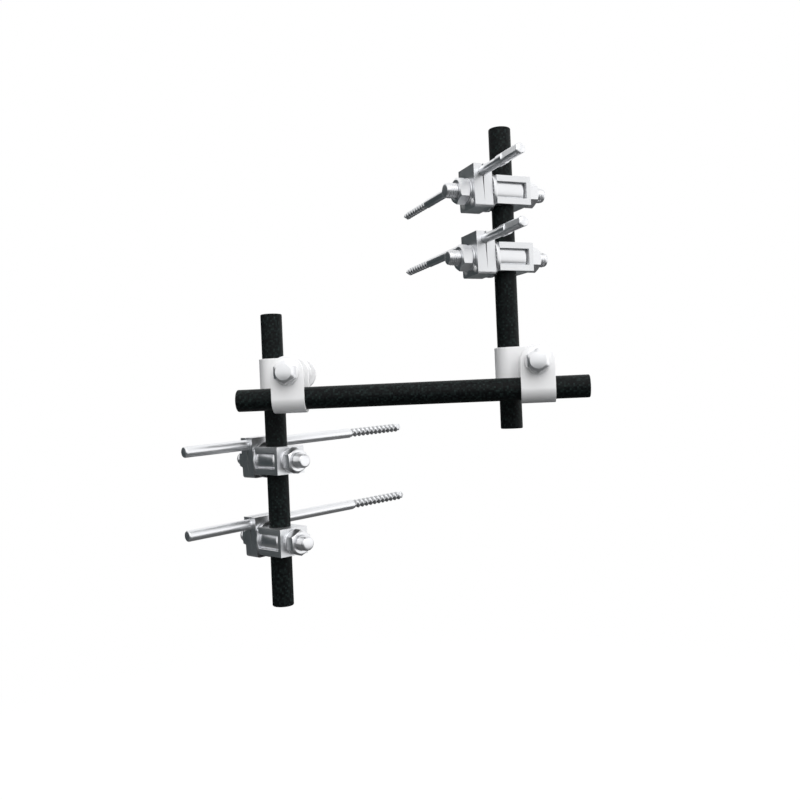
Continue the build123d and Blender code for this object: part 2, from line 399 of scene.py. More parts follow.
# %% Wear and tool marks
SCRATCH_TURN = (0.6, 0.35, 0.9)
SCRATCH_STRETCH = (1.0, 1.0, 0.06)
AXES = ("Along X", "Along Y", "Along Z")


def make_wear_group():
    """Cloudy handling marks and short fine scratches, as a mask and a height."""
    tree, given, result = group_tree(
        "ShaderNodeTree", "fine_wear", [("Cloud Size", FLOAT, 180.0), ("Scratch Size", FLOAT, 900.0)],
        [("Mask", FLOAT), ("Height", FLOAT)],
    )
    size = given.outputs
    where = add_node(tree, "ShaderNodeTexCoord").outputs["Object"]
    blurred = {"Vector": where, "Scale": size["Cloud Size"], "Detail": 3.0}
    cloud = add_node(tree, "ShaderNodeTexNoise", blurred).outputs["Fac"]
    stretched = add_node(
        tree, "ShaderNodeMapping", {"Vector": where, "Rotation": SCRATCH_TURN, "Scale": SCRATCH_STRETCH}
    ).outputs["Vector"]
    scratch = add_node(
        tree, "ShaderNodeTexNoise",
        {"Vector": stretched, "Scale": size["Scratch Size"], "Detail": 4.0, "Roughness": 0.65},
    ).outputs["Fac"]
    feed(result, {"Mask": cloud, "Height": scratch})
    return tree


def make_marks_group():
    """Fine rings round a turned piece's own axis, as a height. Three weights choose the axis."""
    tree, given, result = group_tree(
        "ShaderNodeTree", "turning_marks",
        [("Rings", FLOAT, 6000.0), *[(axis, FLOAT, 0.0) for axis in AXES]], [("Height", FLOAT)],
    )
    add, calc = tools(tree)
    own_place = attribute(tree, "piece_place", "Vector")
    parts = add("ShaderNodeSeparateXYZ", {"Vector": own_place}).outputs
    along = 0.0
    for part, axis in zip(parts, AXES):
        along = calc("MULTIPLY_ADD", part, given.outputs[axis], along)
    along = calc("MULTIPLY", along, given.outputs["Rings"])
    line = add("ShaderNodeCombineXYZ", {"X": along}).outputs[0]
    rings = add("ShaderNodeTexNoise", {"Vector": line, "Scale": 1.0, "Detail": 2.0})
    feed(result, {"Height": rings.outputs["Fac"]})
    return tree


wear_group = make_wear_group()
marks_group = make_marks_group()


# %% [markdown]
# ## Steel
# The strap jaws are nearly white satin steel, the yokes and plates a little greyer, and the bolts, nuts,
# stems and bone pins are polished; the guide pins are pale and matt. All are one recipe with other
# numbers: metal, a roughness that the wear mask moves a little, and a faint bump from wear and tool marks.

# %% Steel materials
# The colour of the painted shade in the roots of a thread
THREAD_ROOT = (0.12, 0.125, 0.13, 1.0)
WEAR_HEIGHT = 0.05 * MM
MARK_HEIGHT = 0.04 * MM


def steel(name, colour, shade, roughness, spread, wear_depth, marks=None, mark_depth=0.0,
          metallic=1.0, valley=0.0, recess=0.0):
    """A steel finish. marks is the axis of its turning marks, valley how much painted shade darkens
    the roots of its thread, and recess how much the walls of its window lose their shine."""
    material, tree, shader = new_material(name)
    add, calc = tools(tree)
    wear = add("ShaderNodeGroup", node_tree=wear_group).outputs
    tone = mixed(tree, wear["Mask"], (*shade, 1.0), (*colour, 1.0))
    # Painted shade: the roots of a thread are painted darker, as if shaded by its flanks
    if valley:
        tone = mixed(tree, calc("MULTIPLY", attribute(tree, "valley"), valley), tone, THREAD_ROOT)
    if recess:
        metallic = calc("MULTIPLY_ADD", attribute(tree, "recess"), -recess, metallic)
    rough = add(
        "ShaderNodeMapRange",
        {"Value": wear["Mask"], "To Min": roughness - spread, "To Max": roughness + spread},
    ).outputs["Result"]
    normal = bumped(tree, wear["Height"], wear_depth, WEAR_HEIGHT)
    if marks:
        chosen = {axis: float(axis.endswith(marks)) for axis in AXES}
        rings = add("ShaderNodeGroup", chosen, node_tree=marks_group)
        normal = bumped(tree, rings.outputs["Height"], mark_depth, MARK_HEIGHT, normal)
    feed(shader, {"Base Color": tone, "Metallic": metallic, "Roughness": rough, "Normal": normal})
    return material


strap_steel = steel("strap_steel", (0.90, 0.90, 0.905), (0.86, 0.86, 0.87), 0.5, 0.05, 0.1, metallic=0.25)
yoke_steel = steel("yoke_steel", (0.74, 0.75, 0.765), (0.69, 0.70, 0.715), 0.34, 0.04, 0.12, recess=0.85)
turned_steel = steel("turned_steel", (0.82, 0.825, 0.84), (0.77, 0.78, 0.80), 0.29, 0.03, 0.02, "X", 0.05)
# Polished, with painted shade in the roots of its thread
pin_steel = steel(
    "pin_steel", (0.84, 0.85, 0.87), (0.79, 0.80, 0.82), 0.31, 0.03, 0.03, "Y", 0.08, valley=0.7
)
bolt_steel = steel("bolt_steel", (0.87, 0.875, 0.89), (0.83, 0.84, 0.86), 0.29, 0.03, 0.02, "X", 0.05, 0.93)
dowel_steel = steel("dowel_steel", (0.95, 0.95, 0.95), (0.92, 0.92, 0.93), 0.55, 0.03, 0.03, metallic=0.2)


# %% [markdown]
# ## Carbon
# A carbon rod is wound from cloth and ground to size. From arm's length it is near black; close up, the
# crossing tows show small dim squares of glint, which is painted into their colour. The weave is drawn on
# the rod's own UV map, so the tows run round and along the rod and meet at the seam.

# %% Carbon material
TOWS_ROUND = 40
TOW_WIDTH = 2 * pi * ROD_RADIUS / TOWS_ROUND
TOW_HEIGHT = 0.06 * MM
# The tows' own near-black colour, and the colour of their painted glint
TOW_SHADE = (0.0022, 0.0026, 0.003, 1.0)
TOW_GLINT = (0.013, 0.021, 0.02, 1.0)


def carbon():
    """Near-black woven composite under a thin gloss."""
    material, tree, shader = new_material("carbon_weave")
    add, calc = tools(tree)
    wrap = add("ShaderNodeUVMap", uv_map="wrap").outputs["UV"]
    round_rod, along_rod, _ = add("ShaderNodeSeparateXYZ", {"Vector": wrap}).outputs
    column = calc("FLOOR", round_rod)
    row = calc("FLOOR", along_rod)
    # A tow passes over two others and under two, and each row starts one further on
    step = calc("FLOORED_MODULO", calc("ADD", column, row), 4.0)
    over = calc("LESS_THAN", step, 1.5)
    across = calc("PINGPONG", round_rod, 0.5)
    crown = mixed(tree, over, across, calc("PINGPONG", along_rod, 0.5), "FLOAT")
    cell = add("ShaderNodeCombineXYZ", {"X": column, "Y": row}).outputs[0]
    noise = add("ShaderNodeTexWhiteNoise", {"Vector": cell}, noise_dimensions="2D")
    glint = noise.outputs["Value"]
    # Painted glint: each tow's random tone is brightened into a glint, half as bright where the tow passes under
    lit = calc("MULTIPLY", calc("POWER", glint, 2.0), calc("MULTIPLY_ADD", over, 0.5, 0.5))
    colour = mixed(tree, lit, TOW_SHADE, TOW_GLINT)
    rough = add("ShaderNodeMapRange", {"Value": glint, "To Min": 0.42, "To Max": 0.56}).outputs["Result"]
    normal = bumped(tree, crown, 0.35, TOW_HEIGHT)
    feed(shader, {"Base Color": colour, "Roughness": rough, "Normal": normal, "Specular IOR Level": 0.09})
    return material


carbon_weave = carbon()


# %% Rods
ROD_EDGE = 0.6 * MM


def rod_mesh(length):
    """A rod along Z, centred, with its weave laid out on a UV map."""
    mesh = turned(rounded_stations(-length / 2, length / 2, ROD_RADIUS, ROD_EDGE))
    layer = mesh.uv_layers.new(name="wrap")
    for face in mesh.polygons:
        middle = atan2(face.center.y, face.center.x)
        for index in face.loop_indices:
            point = mesh.vertices[mesh.loops[index].vertex_index].co
            angle = atan2(point.y, point.x)
            if angle - middle > pi:
                angle -= 2 * pi
            elif middle - angle > pi:
                angle += 2 * pi
            layer.data[index].uv = (angle / (2 * pi) * TOWS_ROUND, point.z / TOW_WIDTH)
    return mesh


for node, turn in (("connecting_rod", Z_TO_X), ("lower_rod", UPRIGHT), ("upper_rod", UPRIGHT)):
    low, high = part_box(node)
    place = Matrix.Translation((low + high) / 2) @ turn
    put(node, rod_mesh(max(high - low)), place, carbon_weave)
print("rods made, tow width", round(TOW_WIDTH / MM, 2), "mm")


# %% [markdown]
# ## Helical threads
# A thread is a rule: the radius rises and falls as you go along the axis, and the pattern climbs one pitch
# for each turn. Geometry Nodes apply that rule to a plain grid, which is rolled into a tube. The first and
# last rings close on the axis. One tree makes the coarse bone threads and the fine screw threads.

# %% Thread tree
TROCAR_FACES = 3
THREAD_SEGMENTS = 48
NO_POINT = 0.001 * MM
END_SHARE = 1e-5


def tree_with(name, inputs):
    """A geometry tree with number inputs, a material and a mesh result."""
    inputs = [*inputs, ("Material", "NodeSocketMaterial", None)]
    return group_tree("GeometryNodeTree", name, inputs, [("Geometry", "NodeSocketGeometry")])


def finish_tree(tree, given, result, geometry):
    """Ends a tree in Realize Instances and Set Material."""
    real = add_node(tree, "GeometryNodeRealizeInstances", {"Geometry": geometry})
    inputs = {"Geometry": real.outputs["Geometry"], "Material": given.outputs["Material"]}
    painted = add_node(tree, "GeometryNodeSetMaterial", inputs)
    feed(result, {"Geometry": painted.outputs["Geometry"]})


def make_thread_tree():
    """A closed tube along Z from 0 to Length whose radius follows a helix."""
    tree, given, result = tree_with("helical_thread", [
        ("Root Radius", FLOAT, 2.0 * MM), ("Crest Radius", FLOAT, 2.5 * MM), ("Pitch", FLOAT, 3.3 * MM),
        ("Length", FLOAT, 30 * MM), ("Run-out", FLOAT, 1.0 * MM), ("Sharpness", FLOAT, 1.0),
        ("Point Length", FLOAT, NO_POINT), ("Rings", INT, 120), ("Segments", INT, 33),
    ])
    add, calc = tools(tree)
    value = given.outputs
    grid = add(
        "GeometryNodeMeshGrid",
        {"Size X": 1.0, "Size Y": 1.0, "Vertices X": value["Rings"], "Vertices Y": value["Segments"]},
    )
    spot = add("GeometryNodeInputPosition").outputs[0]
    x, y, _ = add("ShaderNodeSeparateXYZ", {0: spot}).outputs
    share = calc("ADD", x, 0.5)
    along = calc("MULTIPLY", share, value["Length"])
    angle = calc("MULTIPLY", y, 2 * pi)
    phase = calc("SUBTRACT", calc("DIVIDE", along, value["Pitch"]), y)
    wave = calc("MULTIPLY_ADD", calc("COSINE", calc("MULTIPLY", phase, 2 * pi)), 0.5, 0.5)
    ridge = calc("POWER", wave, value["Sharpness"])
    from_tip = calc("SUBTRACT", value["Length"], along)
    to_end = calc("MINIMUM", along, from_tip)
    fade = calc("MINIMUM", calc("DIVIDE", to_end, value["Run-out"]), 1.0)
    rise = calc("SUBTRACT", value["Crest Radius"], value["Root Radius"])
    radius = calc("MULTIPLY_ADD", calc("MULTIPLY", ridge, fade), rise, value["Root Radius"])
    # The ground faces of a pointed thread, each a plane that leans in towards the tip
    turn = calc("FRACT", calc("MULTIPLY_ADD", y, float(TROCAR_FACES), 0.5))
    away = calc("MULTIPLY", calc("SUBTRACT", turn, 0.5), 2 * pi / TROCAR_FACES)
    lean = calc("MULTIPLY", from_tip, value["Crest Radius"])
    lean = calc("DIVIDE", lean, value["Point Length"])
    radius = calc("MINIMUM", radius, calc("DIVIDE", lean, calc("COSINE", away)))
    # The first and the last ring shrink onto the axis, which closes the tube
    started = calc("GREATER_THAN", share, END_SHARE)
    inside = calc("MULTIPLY", started, calc("LESS_THAN", share, 1 - END_SHARE))
    radius = calc("MULTIPLY", radius, inside)
    across = calc("MULTIPLY", radius, calc("COSINE", angle))
    over = calc("MULTIPLY", radius, calc("SINE", angle))
    rolled = add("ShaderNodeCombineXYZ", {"X": across, "Y": over, "Z": along})
    points = {"Geometry": grid.outputs["Mesh"], "Position": rolled.outputs[0]}
    placed = add("GeometryNodeSetPosition", points)
    seams = {"Geometry": placed.outputs["Geometry"], "Distance": WELD}
    welded = add("GeometryNodeMergeByDistance", seams)
    finish_tree(tree, given, result, welded.outputs["Geometry"])
    return tree


def grown(tree, values, material):
    """The plain mesh that a geometry tree makes from these inputs."""
    values = {**values, "Material": material}

    def add(carrier):
        modifier = carrier.modifiers.new("grow", "NODES")
        modifier.node_group = tree
        for item in tree.interface.items_tree:
            if item.in_out == "INPUT":
                modifier[item.identifier] = values[item.name]
    return reworked(applied(bpy.data.meshes.new("seed"), add), face_outwards)


thread_tree = make_thread_tree()


def thread(start, end, root, crest, pitch, material, run_out, sharpness, per_turn, point=NO_POINT):
    """A thread along Z between two heights. per_turn counts its rings, point is its ground tip's length."""
    length = end - start
    values = {
        "Root Radius": root, "Crest Radius": crest, "Pitch": pitch, "Length": length, "Run-out": run_out,
        "Sharpness": sharpness, "Point Length": point, "Rings": int(length / pitch * per_turn),
        "Segments": THREAD_SEGMENTS + 1,
    }
    return moved(grown(thread_tree, values, material), Matrix.Translation((0, 0, start)))


# %% [markdown]
# ## Bone pins
# A bone pin is one turned bar: a plain shaft, a coarse thread with a rounded crest, and a trocar tip whose
# three ground faces cut the last turns. The upper pins also have a thicker tail with three flats for the
# drill chuck.

# %% Bone pins
PIN_PITCH = 3.3 * MM
PIN_THREAD_DEPTH = 0.75 * MM
PIN_RUN_OUT = 1.2 * MM
PIN_SHARPNESS = 1.4
PIN_RINGS = 20
PIN_CREASE = 30
PIN_THREAD_LENGTH = {"lower": 41.0 * MM, "upper": 32.0 * MM}
TROCAR_LENGTH = 5.0 * MM
PIN_EDGE = 0.7 * MM
PIN_CROWN = 0.15 * MM
DRIVE_RADIUS = 2.75 * MM
DRIVE_LENGTH = 20.0 * MM
DRIVE_EDGE = 1.2 * MM
DRIVE_CHAMFER = 0.2 * MM
DRIVE_FLAT_END = 14.2 * MM
DRIVE_FLAT_DEPTH = 0.5 * MM
DRIVE_FLAT_TURN = radians(-50)
DRIVE_FLATS = 3
THREAD_RADIUS = {"lower": 2.5 * MM, "upper": 2.1 * MM}
SHAFT_RADIUS = {"lower": 2.75 * MM, "upper": 2.3 * MM}


def nearest_face(angle, faces):
    """The angle to the middle of the nearest of several even faces."""
    pitch = 2 * pi / faces
    return (angle + pitch / 2) % pitch - pitch / 2


def pin_mesh(end, tail, tip):
    """A bone pin along Z from tail to tip."""
    shaft, crest = SHAFT_RADIUS[end], THREAD_RADIUS[end]
    root = crest - PIN_THREAD_DEPTH
    thread_start = tip - PIN_THREAD_LENGTH[end]
    core_end = tip - TROCAR_LENGTH
    if end == "upper":
        flat_end, drive_end = tail + DRIVE_FLAT_END, tail + DRIVE_LENGTH
        stations = rim(tail, DRIVE_RADIUS, DRIVE_EDGE, crown=PIN_CROWN)
        stations += [(flat_end, DRIVE_RADIUS), (flat_end + MM / 20, DRIVE_RADIUS)]
        stations += [(drive_end - DRIVE_CHAMFER, DRIVE_RADIUS), (drive_end, DRIVE_RADIUS - DRIVE_CHAMFER)]
        stations += [(drive_end, shaft)]
    else:
        stations = rim(tail, shaft, PIN_EDGE, crown=PIN_CROWN)
    stations += [(thread_start - MM, shaft), (thread_start, root), (core_end, root), (core_end, 0)]

    def rule(angle, radius, height):
        if end == "lower" or height > tail + DRIVE_FLAT_END:
            return radius
        away = nearest_face(angle - DRIVE_FLAT_TURN, DRIVE_FLATS)
        return min(radius, (DRIVE_RADIUS - DRIVE_FLAT_DEPTH) / cos(away))

    body = turned(stations, segments=72, rule=rule)
    helix = thread(
        thread_start - MM / 2, tip, root, crest, PIN_PITCH, pin_steel,
        run_out=PIN_RUN_OUT, sharpness=PIN_SHARPNESS, per_turn=PIN_RINGS, point=TROCAR_LENGTH,
    )
    whole = join_meshes([body, helix])
    # Each point's depth into the thread, which sets how much painted shade darkens it
    valley = whole.attributes.new("valley", "FLOAT", "POINT")
    depths = []
    for v in whole.vertices:
        in_thread = thread_start < v.co.z < core_end
        depth = (crest - v.co.xy.length) / PIN_THREAD_DEPTH
        depths.append(min(max(depth, 0.0), 1.0) if in_thread else 0.0)
    valley.data.foreach_set("value", depths)
    return whole


for end in ENDS:
    for number in NUMBERS:
        node = f"{end}_bone_pin_{number}"
        place = plates_place(end, number)
        low, high = local_box(node, place)
        axis = Matrix.Translation(((low.x + high.x) / 2, 0, (low.z + high.z) / 2))
        put(node, moved(pin_mesh(end, low.y, high.y), axis @ Z_TO_Y), place, pin_steel, crease=PIN_CREASE)
print("bone pins made")


# %% [markdown]
# ## Strap jaws
# A strap jaw starts as a flat blank with two round ends and two holes, and is folded round the rod. The
# blank is a ladder of rungs, each placed along the folded path; Solidify gives it its gauge, and a bevel
# breaks its edges.

# %% Folded strap
STRAP_GAUGE = 1.5 * MM
STRAP_EDGE = 0.35 * MM
BOLT_RADIUS = 3.0 * MM
HOLE_PLAY = 0.05 * MM
BOLT_BORE = BOLT_RADIUS + HOLE_PLAY
BEND_STEPS = 28
END_STEPS = 14


def strap_mesh(reach, width, half):
    """A jaw round an axis along X, its legs rising to +Z. reach is from that axis to the bolt's."""
    middle = half - STRAP_GAUGE / 2
    round_end = width / 2
    quarter = stepped(pi / 2, END_STEPS)
    rungs = [(-middle, reach + round_end * cos(a), round_end * sin(a)) for a in quarter]
    rungs += [(-middle * cos(a), -middle * sin(a), round_end) for a in stepped(pi, BEND_STEPS)]
    rungs += [(middle, reach + round_end * sin(a), round_end * cos(a)) for a in quarter]
    points = [(side * wide, y, z) for y, z, wide in rungs for side in (-1, 1)]
    faces = [(2 * k, 2 * k + 1, 2 * k + 3, 2 * k + 2) for k in range(len(rungs) - 1)]
    sheet = mesh_from(points, faces)

    def add(carrier):
        solid = carrier.modifiers.new("gauge", "SOLIDIFY")
        solid.thickness, solid.offset, solid.use_even_offset = STRAP_GAUGE, 0.0, True
    solid = applied(sheet, add)
    hole = bar(-2 * half, 2 * half, BOLT_BORE, Z_TO_Y, (0, 0, reach))
    return softened(cut(solid, hole), STRAP_EDGE)


for end in ENDS:
    low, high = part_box(f"{end}_front_jaw")
    bolt = bolt_place(end).translation
    half, width = (high.y - low.y) / 2, high.x - low.x
    front = Matrix.Translation((bolt.x, 0, 0))
    put(f"{end}_front_jaw", strap_mesh(bolt.z, width, half), front, strap_steel)
    upright = Vector(joints[f"{end}_upright_turn"]["pos_m"])
    side = Matrix.Translation((upright.x, upright.y, bolt.z)) @ Matrix.Rotation(pi / 2, 4, "Y")
    put(f"{end}_rear_jaw", strap_mesh(bolt.x - upright.x, width, half), side, strap_steel)
print("strap jaws made")


# %% [markdown]
# ## Bolts, nuts and washers
# A hexagon is a turned piece whose radius is held back by six flats, and the turned corners are where the
# cone of the tool still shows. The same rule makes the bolt heads and every nut.

# %% Hexagons
HEX_FACES = 6
HEX_CREASE = 24
NUT_FACE_SHARE = 0.93
HEAD_FACE_SHARE = 0.78
NUT_SLOPE_SHARE = 0.5
HEAD_SLOPE_SHARE = 0.85
HEX_EDGE = 0.12 * MM
HEX_STEPS = 5
DOME_STEPS = 4
SCREW_PITCH = 1.0 * MM
SCREW_DEPTH = 0.28 * MM
SCREW_NOSE = 0.8 * MM
SCREW_CROWN = 0.15 * MM
SCREW_SHARPNESS = 0.8
SCREW_RINGS = 10


def hexagon_mesh(across_flats, start, end, face_share, slope_share, bore=0.0, dome=0.0):
    """A hexagon along Z with points on Y: a nut turned at both ends, or a head with a domed top."""
    flat = across_flats / 2
    corner = flat / cos(pi / HEX_FACES)
    face = flat * face_share
    slope = corner - face
    top = [(end - dome - slope * slope_share * s, face + slope * s) for s in stepped(1, HEX_STEPS)]
    if bore:
        foot = [(start + end - z, r) for z, r in reversed(top)]
        lip = 2 * HEX_EDGE
        inner = [(start, bore + lip), (start + lip, bore), (end - lip, bore), (end, bore + lip)]
        stations = top + foot + inner
    else:
        crown = [(end - dome * (k / DOME_STEPS) ** 2, face * k / DOME_STEPS) for k in range(DOME_STEPS)]
        stations = crown + top + [(start + HEX_EDGE, corner), (start, corner - HEX_EDGE), (start, 0)]

    def rule(angle, radius, height):
        return min(radius, flat / cos(nearest_face(angle, HEX_FACES)))
    return turned(stations, rule=rule, bored=bool(bore))


def nut_mesh(low, high, bore):
    """A nut along X, as large as its solid."""
    width = high.y - low.y
    return moved(hexagon_mesh(width, low.x, high.x, NUT_FACE_SHARE, NUT_SLOPE_SHARE, bore), Z_TO_X)


def screw_end(start, end, radius, turn):
    """A threaded length along Z, its far end rounded, as two shells that are then turned."""
    tip = SCREW_NOSE + SCREW_CROWN
    root = radius - SCREW_DEPTH
    helix = thread(
        start, end - tip, root, radius, SCREW_PITCH, turned_steel,
        run_out=SCREW_PITCH, sharpness=SCREW_SHARPNESS, per_turn=SCREW_RINGS,
    )
    nose = turned(rounded_stations(end - 3 * tip, end, root, SCREW_NOSE, SCREW_CROWN), segments=48)
    return [moved(helix, turn), moved(nose, turn)]


# %% Clamp bolts
HEAD_DOME = 0.25 * MM
SHANK_EDGE = 0.2 * MM
WASHER_EDGE = 0.25 * MM
X_REVERSED = Z_TO_X @ Matrix.Rotation(pi, 4, "Y")
for end in ENDS:
    place = bolt_place(end)
    low, high = local_box(f"{end}_clamp_bolt", place)
    under_head = local_box(f"{end}_front_washer", place)[0].x
    nut_low, nut_high = local_box(f"{end}_clamp_nut", place)
    head = hexagon_mesh(
        high.y - low.y, -under_head, -low.x, HEAD_FACE_SHARE, HEAD_SLOPE_SHARE, dome=HEAD_DOME
    )
    shank = turned(rounded_stations(under_head - MM, nut_low.x, BOLT_RADIUS, SHANK_EDGE), segments=64)
    shells = [moved(head, X_REVERSED), moved(shank, Z_TO_X)]
    shells += screw_end(nut_low.x - MM, high.x, BOLT_RADIUS, Z_TO_X)
    put(f"{end}_clamp_bolt", join_meshes(shells), place, bolt_steel, crease=HEX_CREASE)
    put(f"{end}_clamp_nut", nut_mesh(nut_low, nut_high, BOLT_BORE), place, turned_steel, crease=HEX_CREASE)
    for name in ("front_washer", "rear_washer"):
        low, high = local_box(f"{end}_{name}", place)
        ring = turned(ring_stations(low.x, high.x, (high.y - low.y) / 2, BOLT_BORE, WASHER_EDGE), bored=True)
        put(f"{end}_{name}", moved(ring, Z_TO_X), place, strap_steel)
print("clamp bolts made")


# %% [markdown]
# ## Toothed discs
# The spacer between the jaws and the disc behind each yoke have radial teeth that stop the clamp from
# slipping. Geometry Nodes set one ridge on each point of a circle, turned outwards; the ridges stand on a
# plain turned ring that is a tooth lower than the solid.

# %% Teeth tree
SPACER_TEETH = 24
TOOTH_HEIGHT = 0.35 * MM
TEETH_FROM_BORE = 0.3 * MM
TEETH_FROM_RIM = 0.25 * MM
RING_EDGE = 0.2 * MM


def make_teeth_tree():
    """Radial ridges on the XY plane, pointing up, between two radii."""
    tree, given, result = tree_with("radial_teeth", [
        ("Count", INT, SPACER_TEETH), ("Inner Radius", FLOAT, 3.0 * MM), ("Outer Radius", FLOAT, 6.0 * MM),
        ("Height", FLOAT, TOOTH_HEIGHT),
    ])
    add, calc = tools(tree)
    value = given.outputs
    middle = calc("MULTIPLY", calc("ADD", value["Inner Radius"], value["Outer Radius"]), 0.5)
    length = calc("SUBTRACT", value["Outer Radius"], value["Inner Radius"])
    pitch = calc("DIVIDE", calc("MULTIPLY", value["Inner Radius"], 2 * pi), value["Count"])
    # A ridge is a three-sided bar, lying along X with one corner up
    bar = add(
        "GeometryNodeMeshCylinder",
        {"Vertices": 3, "Radius": calc("MULTIPLY", pitch, 0.5), "Depth": length}, fill_type="TRIANGLE_FAN",
    )
    flat = calc("DIVIDE", value["Height"], calc("MULTIPLY", pitch, 0.75))
    along_x = {"Geometry": bar.outputs["Mesh"], "Rotation": (0.0, pi / 2, 0.0)}
    lying = add("GeometryNodeTransform", along_x).outputs["Geometry"]
    squeeze = add("ShaderNodeCombineXYZ", {"X": 1.0, "Y": 1.0, "Z": flat}).outputs[0]
    low = add("GeometryNodeTransform", {"Geometry": lying, "Scale": squeeze})
    circle = add("GeometryNodeMeshCircle", {"Vertices": value["Count"], "Radius": middle}).outputs["Mesh"]
    number = add("GeometryNodeInputIndex").outputs[0]
    turn = calc("DIVIDE", calc("MULTIPLY", number, 2 * pi), value["Count"])
    facing = add("ShaderNodeCombineXYZ", {"Z": turn})
    set_out = add(
        "GeometryNodeInstanceOnPoints",
        {"Points": circle, "Instance": low.outputs["Geometry"], "Rotation": facing.outputs[0]},
    )
    finish_tree(tree, given, result, set_out.outputs["Instances"])
    return tree


teeth_tree = make_teeth_tree()


def toothed_ring(start, end, radius, bore, count, both_faces):
    """A ring along Z with teeth on its end face, or on both."""
    foot = start + TOOTH_HEIGHT if both_faces else start
    ring = turned(ring_stations(foot, end - TOOTH_HEIGHT, radius, bore, RING_EDGE), bored=True)
    values = {
        "Count": count, "Inner Radius": bore + TEETH_FROM_BORE, "Outer Radius": radius - TEETH_FROM_RIM,
        "Height": TOOTH_HEIGHT,
    }
    ridges = grown(teeth_tree, values, turned_steel)
    top = max(v.co.z for v in ridges.vertices)
    shells = [ring, moved(ridges.copy(), Matrix.Translation((0, 0, end - top)))]
    if both_faces:
        turned_over = Matrix.Translation((0, 0, start + top)) @ Matrix.Rotation(pi, 4, "X")
        shells.append(moved(ridges.copy(), turned_over))
    return join_meshes(shells)


for end in ENDS:
    place = bolt_place(end)
    low, high = local_box(f"{end}_middle_washer", place)
    spacer = toothed_ring(low.x, high.x, (high.y - low.y) / 2, BOLT_BORE, SPACER_TEETH, True)
    put(f"{end}_middle_washer", moved(spacer, Z_TO_X), place, turned_steel)
print("spacers made")


# %% [markdown]
# ## Pin clamps
# The yoke is milled from bar: a window through its sides, holes for the rod, and a hole for the stem. The
# eye bolt's flatted barrel fills the window, and the rod runs through both. Behind the toothed disc, two
# plates close on the bone pin when the back nut is turned.

# %% Yoke and eye bolt
YOKE_WALL = 2.3 * MM
YOKE_EDGE = 0.4 * MM
WINDOW_HEIGHT = 8.0 * MM
WINDOW_CORNER = 0.5 * MM
ROD_HOLE = ROD_RADIUS + HOLE_PLAY
STEM_RADIUS = 3.75 * MM
STEM_BORE = STEM_RADIUS + HOLE_PLAY
BARREL_RADIUS = 8.2 * MM
BARREL_BACK = -7.3 * MM
BARREL_FRONT = 8.6 * MM
BARREL_EDGE = 0.5 * MM
BARREL_NOSE = 1.8 * MM
BARREL_SOFT = 0.15 * MM
BARREL_CREASE = 60
DISC_TEETH = 30
PAST = 2.0 * MM


def corner_insets(radius, steps=6):
    """A rounded corner, as insets from its two sides."""
    return [(radius * (1 - sin(a)), radius * (1 - cos(a))) for a in stepped(pi / 2, steps)]


def yoke_mesh(low, high):
    """The yoke in its own axes."""
    front = high.x - YOKE_WALL
    half = WINDOW_HEIGHT / 2
    corner = [(front - a, half - b) for a, b in corner_insets(WINDOW_CORNER)]
    outline = [(low.x - PAST, -half), *[(x, -z) for x, z in corner], *reversed(corner), (low.x - PAST, half)]
    shape = cut(block(low, high), prism(outline, low.y - PAST, high.y + PAST, STOOD_UP))
    shape = cut(shape, bar(low.z - PAST, high.z + PAST, ROD_HOLE, UPRIGHT))
    shape = cut(shape, bar(0, high.x + PAST, STEM_BORE, Z_TO_X))
    shape = softened(shape, YOKE_EDGE)
    # The walls of the window are blasted, not ground
    reach = MM / 20
    inner = {v.index for v in shape.vertices if abs(v.co.z) < half + reach and v.co.x < front + reach}
    blasted = [float(inner.issuperset(face.vertices)) for face in shape.polygons]
    shape.attributes.new("recess", "FLOAT", "FACE").data.foreach_set("value", blasted)
    return shape


def barrel_mesh(flat):
    """The flatted barrel along X with its cross hole."""
    stations = rim(BARREL_BACK, BARREL_RADIUS, BARREL_EDGE)
    stations += rim(BARREL_FRONT, BARREL_RADIUS, BARREL_NOSE, -1)[::-1]

    def rule(angle, reach, height):
        # Local Y becomes the rod's direction, so the flats face +Y and -Y here
        lean = abs(sin(angle))
        return min(reach, flat / lean) if lean > 0.01 else reach
    shape = moved(turned(stations, rule=rule), Z_TO_X)
    shape = cut(shape, bar(-BARREL_RADIUS, BARREL_RADIUS, ROD_HOLE, UPRIGHT))
    return softened(shape, BARREL_SOFT, 2)


# %% Plates
SLIT_WIDTH = 0.9 * MM
HEEL_HEIGHT = 2.5 * MM
PLATE_CORNER = 1.4 * MM
GUIDE_RADIUS = 1.5 * MM
GUIDE_SPACING = 9.6 * MM
GUIDE_DROP = 6.0 * MM
GUIDE_FLOOR = 1.2 * MM
GUIDE_EDGE = 0.3 * MM
PLATE_EDGE = 0.3 * MM


def plate_mesh(outline, y_low, y_high, back, front, groove, groove_radius):
    """A plate from its side view, rounded below, grooved, drilled and softened."""
    shape = prism(outline, y_low, y_high, STOOD_UP)
    foot = min(z for _, z in outline)
    top = max(z for _, z in outline) + PAST
    wide = [(y_low + b, foot + a) for a, b in corner_insets(PLATE_CORNER)]
    wide += [(-y, z) for y, z in reversed(wide)]
    envelope = prism([(y_low, top), *wide, (y_high, top)], back - PAST, front + PAST, Z_TO_X)
    shape = cut(shape, envelope, "INTERSECT")
    shape = cut(shape, bar(back - PAST, front + PAST, STEM_BORE, Z_TO_X))
    shape = cut(shape, bar(y_low - PAST, y_high + PAST, groove_radius, Z_TO_Y, groove))
    for side in (-1, 1):
        at = (0, side * GUIDE_SPACING / 2, -GUIDE_DROP)
        shape = cut(shape, bar(back - PAST, front - GUIDE_FLOOR, GUIDE_RADIUS + HOLE_PLAY, Z_TO_X, at, 48))
    return softened(shape, PLATE_EDGE)


